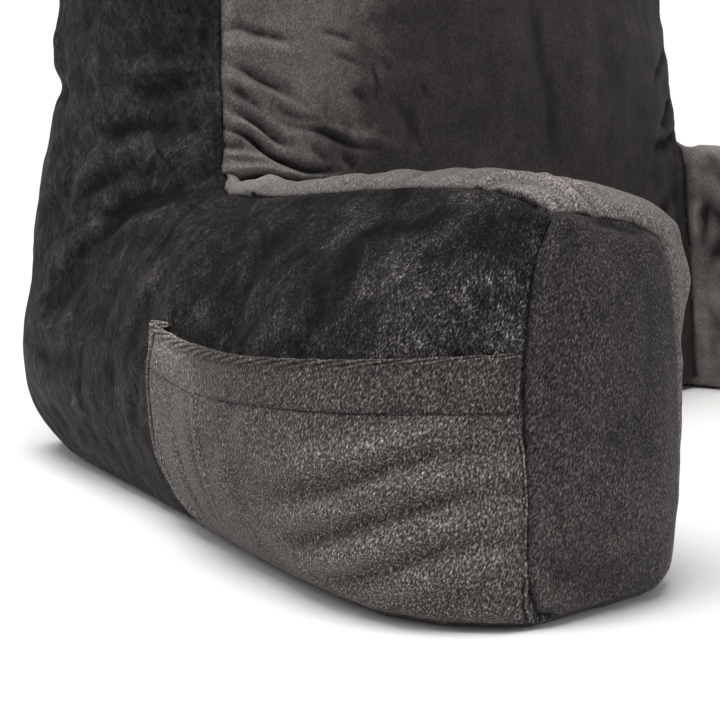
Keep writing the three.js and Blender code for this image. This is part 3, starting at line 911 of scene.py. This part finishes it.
def side_patch(cloth, places):
    """The side cloth is crushed in blotches on the arm, dark high up at its front and lighter below."""
    _, ahead, height = cloth.axes(places)
    arm = cloth.between(ahead, 0.05, 0.17)
    blotches = cloth.clouds(places, 0.035, 5, 0.62, 0.6)
    dark_top = cloth.between(ahead, 0.23, 0.29) * cloth.between(height, 0.148, 0.16)
    light_front = cloth.between(ahead, 0.29, 0.33) * cloth.between(height, 0.155, 0.138)
    light_corner = cloth.between(ahead, 0.32, 0.345) * cloth.between(height, 0.168, 0.176)
    patches = (blotches - 0.5) * 3.5 - dark_top * 0.4 + light_front * 0.45 + light_corner * 0.8
    root = cloth.between(ahead, 0.0, 0.03) * (1 - arm)
    raked = cloth.lines(cloth.stretched(places, (0.0, -0.66, 0.75), 0.4), 0.026, 0.03)
    scuffed = cloth.lines(cloth.stretched(places, (0.0, 0.3, 0.95), 0.4), 0.014, 0.04)
    worn = cloth.between(cloth.clouds(places, 0.05, 3), 0.46, 0.6)
    marks = raked * (0.2 + worn * 0.75) + scuffed * (0.1 + (1 - worn) * 0.5)
    dulled = 0.45 - cloth.between(ahead, 0.27, 0.31) * 0.4
    return (1 + arm * (patches - dulled) - root * 0.17) * (0.9 + marks)


def arm_pile(cloth, places):
    """The pile shows most on the arm."""
    return 0.3 + cloth.between(cloth.axes(places)[1], 0.03, 0.16) * 1.0


def strip_pile(cloth, places):
    """The pile of the arms' tops shows most towards the left arm's front."""
    right, ahead, _ = cloth.axes(places)
    return 0.25 + cloth.between(right, 0.05, -0.05) * cloth.between(ahead, 0.08, 0.2) * 0.4


def strip_painted_light(cloth, places):
    """The left arm's strip is darker along its middle and has painted shade on its inside; the right one has
    painted light at its foot.
    """
    right, ahead, height = cloth.axes(places)
    left = cloth.between(right, 0.05, -0.05)
    middle = cloth.between(ahead, 0.16, 0.22) * cloth.between(ahead, 0.36, 0.32)
    inside = cloth.between(height, 0.17, 0.14)
    foot = cloth.between(height, 0.09, 0.05)
    return 1 - left * (middle * (1 - inside) * 0.16 + inside * 0.18) + (1 - left) * foot * 0.26


def pocket_tone(cloth, places):
    """The pocket is lighter towards its rear, most at its hem, and its hem is darker further forward."""
    _, ahead, height = cloth.axes(places)
    hem = cloth.between(height, 0.078, 0.092)
    rearward = cloth.between(ahead, 0.2, 0.14)
    return 1 + rearward * (0.12 + hem * 0.95) - hem * 0.28


def end_lighter_low(cloth, places):
    """The arm end is lighter towards its foot."""
    return 1.25 - cloth.axes(places)[2] * 2.8


# Each look: level, patch size, crush, streak, pile, warmth, how its level varies, sheen. The levels and their
# variation differ partly by the nap and partly as painted light and shade for how each panel faces the light.
LOOKS = {
    "side_plush": (0.0144, 0.026, 0.95, 1.5, arm_pile, 0.05, side_patch, 0.035),
    "face_plush": (0.027, 0.03, 0.45, 0.35, 0.35, 0.1, front_nap_and_painted_light, 0.06),
    "arm_plush": (0.124, 0.05, 0.2, 0.12, strip_pile, 0.1, strip_painted_light, 0.08),
    "end_plush": (0.034, 0.06, 0.3, 0.2, 0.85, 0.085, end_lighter_low, 0.06),
    "pocket_plush": (0.0635, 0.05, 0.25, 0.12, 1.05, 0.12, pocket_tone, 0.08),
}
FINISHES = {slot: plush(slot + "_finish", *look) for slot, look in LOOKS.items()}

for name in PADS:
    finished(padding(name), name)
skins = {}
for name in SKINS:
    skins[name] = finished(skin(name), name)

# ------- the pocket

# In millimetres. A line is a place along the arm, a height is above the floor, and out is off the arm.
POCKET_REAR, POCKET_FRONT = -119.0, -371.4
POCKET_LONG = POCKET_REAR - POCKET_FRONT
POCKET_REAR_LEAN, POCKET_FRONT_LEAN = 12.0, 3.4
POCKET_FOOT, POCKET_REAR_TOP, POCKET_FRONT_TOP = 4.0, 95.5, 115.0
POCKET_LIFT, POCKET_SAG, POCKET_CORNER = 4.0, 2.9, 46.0
POCKET_SLACK, POCKET_CLEARANCE, POCKET_UNDER, POCKET_TUCK = 17.0, 0.9, -0.2, 0.8
POCKET_FLAT, POCKET_THICK = 5.0, 2.0
# Its points, how much closer its columns lie at both ends, and where across it starts to turn into the seam.
POCKET_COLUMNS, POCKET_ROWS = 280, 92
POCKET_CROWDING = 0.85
POCKET_TURN = 0.97
# In metres: a place well to the left of the pillow, and one near the left arm's side.
OUTSIDE, BESIDE = -0.6, -0.34


def from_left(tree, line, height):
    """Where a ray from the left first meets a surface, and the way the surface faces there."""
    return tree.ray_cast(Vector((OUTSIDE, line * MM, height * MM)), Vector((1, 0, 0)))[:2]


LEFT_SIDE = tree_of(skins["side_panel_left"])


def pocket_spot(across, up):
    """Where a place on the pocket's cloth is along the arm and above the floor."""
    line = POCKET_REAR + (POCKET_FRONT - POCKET_REAR) * across
    short = np.maximum(0, POCKET_CORNER - abs(line - POCKET_REAR))
    foot = POCKET_FOOT + POCKET_CORNER - np.sqrt(POCKET_CORNER ** 2 - short ** 2)
    top = POCKET_REAR_TOP + (POCKET_FRONT_TOP - POCKET_REAR_TOP) * across
    top = top + POCKET_LIFT * (1 - across) ** 10 - POCKET_SAG * abs(np.sin(math.pi * across ** 0.6)) ** 1.5
    height = foot + (top - foot) * up ** 0.9
    line = line + POCKET_REAR_LEAN * (1 - across) ** 2 * up * up
    return line + POCKET_FRONT_LEAN * across ** 12 * fade(height, 45, 108), height


def evened(table, rounds):
    """A grid of values evened out with their neighbours. Each row keeps its slope at its ends."""
    for _ in range(rounds):
        wide = np.pad(table, ((1, 1), (0, 0)), mode="edge")
        wide = np.pad(wide, ((0, 0), (1, 1)), mode="reflect", reflect_type="odd")
        table = (wide[:-2, 1:-1] + wide[2:, 1:-1] + wide[1:-1, :-2] + wide[1:-1, 2:] + 2 * table) / 6
    return table


def pocket_grid():
    """The middle of the pocket's cloth, as rows of places from its foot up."""
    columns = np.linspace(0, 1, POCKET_COLUMNS)
    columns -= POCKET_CROWDING * np.sin(2 * math.pi * columns) / (2 * math.pi)
    across, up = np.meshgrid(columns, np.linspace(0, 1, POCKET_ROWS))
    line, height = pocket_spot(across, up)
    raw = np.empty_like(line)
    for spot in np.ndindex(line.shape):
        hit = from_left(LEFT_SIDE, line[spot], height[spot])[0]
        if hit is None:
            hit = LEFT_SIDE.find_nearest(Vector((BESIDE, line[spot] * MM, height[spot] * MM)))[0]
        raw[spot] = -hit.x / MM
    turning = across[0] > POCKET_TURN
    raw[:, turning] = np.minimum.accumulate(raw[:, turning], axis=1)
    sewn = fade(1 - across, 0, 0.05) * fade(across, 0, 0.05) * fade(up, 0, 0.1)
    base = np.maximum(evened(raw, 60) + POCKET_CLEARANCE, raw + 0.5)
    edge = raw + POCKET_UNDER + POCKET_CLEARANCE * fade(-across, -0.05, 0)
    base = evened(base, 3) * sewn + edge * (1 - sewn)
    base -= POCKET_TUCK * bell((1 - across) * POCKET_LONG, 0, 2.2, 1.5)
    flat = POCKET_FLAT / POCKET_LONG
    bowed = np.clip((across - flat) / (1 - flat), 0, 1)
    stand = POCKET_SLACK * np.sin(math.pi * bowed ** 0.95) ** 1.2 * np.sin(math.pi / 2 * up) ** 0.8
    return across, up, line, height, base + stand


# The pocket's folds, in the same way. Axes: along the arm and above the floor (y, z).
POCKET_FOLDS = [
    (3.2, 1.4, 0.3, -180, 92, -194, 80, -199, 56, -201, 24), (4, -1.2, 0, -186, 74, -192, 52, -194, 20),
    (5, -1.2, 0, -158, 56, -166, 36, -178, 16), (4, 1, 0, -152, 60, -158, 40, -172, 18),
    (5, 2.6, 0.3, -371, 88, -346, 84, -300, 68, -256, 58),
    (4.5, -2.6, 0, -371, 79, -346, 75, -310, 58, -262, 46),
    (5, 2.8, 0.3, -371, 71, -344, 64, -306, 48, -256, 35),
    (4.5, -2.6, 0, -371, 61, -342, 54, -304, 38, -262, 26),
    (5, 2.8, 0.3, -371, 51, -346, 44, -312, 30, -268, 18),
    (4.5, -2.2, 0, -371, 42, -348, 36, -318, 22, -284, 12), (4.5, 2, 0, -371, 33, -346, 26, -316, 14),
    (4.5, -1.4, 0, -371, 22, -350, 16, -330, 10), (9, -1.6, 0, -236, 96, -230, 60, -238, 24),
    (8, 1, 0, -254, 84, -222, 52, -200, 26), (6, 1.4, 0, -226, 40, -250, 28, -276, 24),
]
STITCH_PLACES = [0.0, 0.16, 0.4, 0.52, 0.76, 0.95, 1.0]
STITCH_DEPTHS = [18.5, 18.2, 18.6, 18.8, 20.4, 22.6, 23.1]
# Millimetres in from an edge at which the cloth is rolled or drawn in.
FRONT_ROLL, FRONT_GROOVE = 0.9, 2.5
REAR_GROOVE = 4.6
LOWER_GROOVE, LOWER_ROLL = 7.5, 10.5


def stitch_depth(across):
    """How far below the hem's edge its stitching runs."""
    return np.interp(across, STITCH_PLACES, STITCH_DEPTHS)


def pocket_relief(line, height, across, up, out):
    """How far the pocket's folds, stitching and edges stand out, in millimetres, and the painted highlights and
    painted shade on them.
    """
    spots = np.stack([line.ravel(), height.ravel()], 1)
    total = strokes(spots, POCKET_FOLDS).reshape(line.shape)
    # Painted highlights on the folds' ridges and painted shade in their troughs; below, painted shade in the
    # stitching's groove and edge grooves, painted highlights on the edge rolls.
    shade = np.clip(total / 2.4, -1, 1) * 0.28
    total += 0.7 * unevenness(np.pad(spots, ((0, 0), (0, 1))), 26.0, 2.4).reshape(line.shape)
    below = pocket_spot(across, np.ones_like(up))[1] - height
    seam = below - stitch_depth(across)
    total *= fade(across, 0, 0.06) * fade(1 - across, 0, 0.02) * fade(up, 0, 0.12)
    total *= 0.35 + 0.65 * fade(seam, -8, 8)
    pulled = fade(across, 0.34, 0.5)
    total -= 0.8 * bell(seam, 0, 1.2) * pulled
    total += 0.7 * fade(-seam, 0, 1.5) * pulled
    shade -= (0.5 + 0.3 * fade(across, 0.92, 0.97)) * bell(seam, 0, 1.1) * pulled
    rear_gap = across * POCKET_LONG
    steps = np.hypot(np.diff(line, axis=1), np.diff(out, axis=1))
    front_gap = np.pad(np.cumsum(steps[:, ::-1], axis=1)[:, ::-1], ((0, 0), (0, 1)))
    front_roll = bell(front_gap, FRONT_ROLL, 0.9)
    total += 0.5 * front_roll - 0.6 * bell(front_gap, FRONT_GROOVE, 0.6)
    shade += 0.3 * front_roll - 0.4 * bell(front_gap, FRONT_GROOVE, 0.5)
    corner_line, corner_height = POCKET_REAR - POCKET_CORNER, POCKET_FOOT + POCKET_CORNER
    corner_gap = POCKET_CORNER - np.hypot(line - corner_line, height - corner_height)
    in_corner = (line > corner_line) & (height < corner_height)
    edge_gap = np.where(in_corner, np.minimum(corner_gap, rear_gap), np.where(across < 0.2, rear_gap, 99.0))
    upper = fade(height, 34, 50)
    lower = 1 - upper
    total -= 0.8 * bell(edge_gap, REAR_GROOVE, 2.2) * (0.3 + 0.7 * upper)
    shade -= 0.85 * bell(edge_gap, REAR_GROOVE, 2.4, 4) * (0.1 + 0.9 * upper)
    total += 1.4 * bell(edge_gap, LOWER_ROLL, 1.5) * lower
    shade += (0.6 * bell(edge_gap, LOWER_ROLL, 1.3) - 0.5 * bell(edge_gap, LOWER_GROOVE, 1.6)) * lower
    return total, shade


def grid(columns, rows):
    """A flat grid of cloth, its layer of painted shade and highlights, and its points, each with its column and
    row.
    """
    work = bmesh.new()
    bmesh.ops.create_grid(work, x_segments=columns - 1, y_segments=rows - 1, size=0.5)
    shade = work.verts.layers.float.new("painted_shading")
    return work, shade, [
        (round((point.co.x + 0.5) * (columns - 1)), round((point.co.y + 0.5) * (rows - 1)), point)
        for point in work.verts]


def pocket_cloth():
    """The pocket as one sheet of cloth, sewn down at its foot and front and open at its top."""
    across, up, line, height, out = pocket_grid()
    relief, light = pocket_relief(line, height, across, up, out)
    out = out + relief
    work, shade, points = grid(POCKET_COLUMNS, POCKET_ROWS)
    for column, row, point in points:
        point.co = Vector((-out[row, column], line[row, column], height[row, column])) * MM
        point[shade] = light[row, column]
    for face in work.faces:
        face.normal_update()
    if sum(face.normal.x for face in work.faces) > 0:
        bmesh.ops.reverse_faces(work, faces=work.faces)
    share = 0.1 + 0.9 * fade(1 - across, 0, 0.025) * fade(up, 0, 0.04)
    shares = [share[row, column] for column, row, _ in points]
    item = built("pocket_cloth", work)
    group = walled(item, POCKET_THICK * MM, 1)
    for number, share in enumerate(shares):
        group.add([number], share, "REPLACE")
    return applied(item), (across, line, height, out)


# A rolled strip's points are a step apart, and its ends taper to a share of its radius over a length.
STRIP_STEP = 0.6
STRIP_TIP = 0.25
STRIP_TAPER = 1.5


def rolled_strip(name, path, radius, strands, pitch, twist_depth):
    """A cord or binding along a path: a grid of cloth rolled up round it, with its strands twisted."""
    path = np.array(path)
    run = np.pad(np.cumsum(np.linalg.norm(np.diff(path, axis=0), axis=1)), (1, 0))
    count = int(run[-1] / STRIP_STEP)
    ring = 8 * max(2, strands)
    spots = np.stack([np.interp(np.linspace(0, run[-1], count), run, path[:, axis]) for axis in range(3)], 1)
    ahead = np.gradient(spots, axis=0)
    ahead /= np.linalg.norm(ahead, axis=1, keepdims=True)
    outwards = np.array([-1.0, 0, 0])
    work, shade, points = grid(count, ring + 1)
    for step, turn, point in points:
        turn = turn / ring * 2 * math.pi
        sideways = np.cross(ahead[step], outwards)
        sideways /= np.linalg.norm(sideways)
        lift = np.cross(sideways, ahead[step])
        distance = run[-1] * step / (count - 1)
        wave = math.cos(strands * turn + 2 * math.pi * distance / pitch)
        size = np.interp(step / (count - 1), np.linspace(0, 1, len(radius)), radius) * (1 + twist_depth * wave)
        tip = min(1.0, STRIP_TIP + min(distance, run[-1] - distance) / STRIP_TAPER)
        offset = size * tip * (math.cos(turn) * lift + math.sin(turn) * sideways)
        point.co = Vector(spots[step] + offset) * MM
        # Painted highlights on the strands' crests and painted shade between them; the binding is made evenly
        # lighter.
        point[shade] = (0.4 * wave if wave > 0 else 0.85 * wave) if strands > 2 else 0.25
    bmesh.ops.remove_doubles(work, verts=work.verts, dist=SAME_SPOT)
    capped(work)
    bmesh.ops.recalc_face_normals(work, faces=work.faces)
    return built(name, work)


def round_edge(table):
    """A row of the grid's values from the pocket's rear corner round up its rear edge."""
    around = int(np.argmin(abs(line[0] - (POCKET_REAR - POCKET_CORNER * 0.8))))
    return np.concatenate([table[0, around:0:-1], table[:-1, 0]])


pocket, (across, line, height, out) = pocket_cloth()
finished(pocket, "pocket")
top_path = np.stack([-out[-1] - POCKET_THICK * 0.5, line[-1], height[-1] - 0.4], 1)[2:-2]
# The hem's rear end is folded back along the arm and pokes out a little.
FLAP = [(0, -17.0, 1.4), (0, -12.0, 1.2), (0, -6.0, 0.9), (0, -1.0, 0.4)]
FLAP_PROUD = 1.6
flap = top_path[0] + np.array(FLAP)
for spot in flap[:-1]:
    spot[0] = from_left(LEFT_SIDE, spot[1], spot[2])[0].x / MM - FLAP_PROUD
hem = rolled_strip("pocket_hem", np.vstack([flap, top_path]), [1.7, 2.2, 2.0, 1.6, 1.3], 4, 15.0, 0.26)
finished(hem, None)
edge_path = np.stack([-round_edge(out) - POCKET_THICK * 0.4, round_edge(line) + 0.7, round_edge(height)], 1)
binding = rolled_strip("pocket_binding", edge_path, [0.8, 0.7, 0.8], 2, 400.0, 0.12)
finished(binding, None)

STITCH_START = 4.0
STITCH_PITCH = 3.3
STITCH_PROUD = 0.1
STITCH_RADIUS = 0.42
STITCH_LONG = 2.3


def stitches():
    """The line of topstitches that holds the pocket's hem."""
    pocket_face = tree_of(pocket)
    work = bmesh.new()
    run = np.pad(np.cumsum(np.hypot(np.diff(line[-1]), np.diff(out[-1]))), (1, 0))
    for distance in np.arange(STITCH_START, run[-4], STITCH_PITCH):
        column = int(np.argmin(abs(run - distance)))
        level = height[-1, column] - stitch_depth(across[-1, column])
        row = int(np.argmin(abs(height[:, column] - level)))
        middle, facing = from_left(pocket_face, line[row, column], height[row, column])
        middle = middle + facing * STITCH_PROUD * MM
        ahead = row, column + 2
        along = Vector((-out[ahead] + out[row, column], line[ahead] - line[row, column], 0))
        turn = along.to_track_quat("X", "Z").to_matrix()
        made = bmesh.ops.create_icosphere(work, subdivisions=1, radius=STITCH_RADIUS * MM)
        for point in made["verts"]:
            point.co.x *= STITCH_LONG
            point.co = turn @ point.co + middle
    return built("pocket_stitches", work)


def thread(name, level):
    """Spun sewing thread."""
    cloth = Finish(bpy.data.materials.new(name))
    fibres = cloth.clouds(cloth.places(), 0.0008, 2)
    colour = cloth.mixed(fibres, grey(level * 0.7), grey(level * 1.3))
    normal = cloth.bumped(0.4, fibres * 0.0003)
    return cloth.surface({"Base Color": colour, "Roughness": 0.7, "Normal": normal})


topstitch = finished(stitches(), None, thread("thread_finish", 0.02))

# ------- floor

work = bmesh.new()
bmesh.ops.create_grid(work, x_segments=4, y_segments=4, size=4)
floor = built("floor", work)
ground = Finish(bpy.data.materials.new("floor_finish"))
floor.data.materials.append(ground.surface({"Base Color": (0.86, 0.86, 0.86, 1), "Roughness": 0.9}))
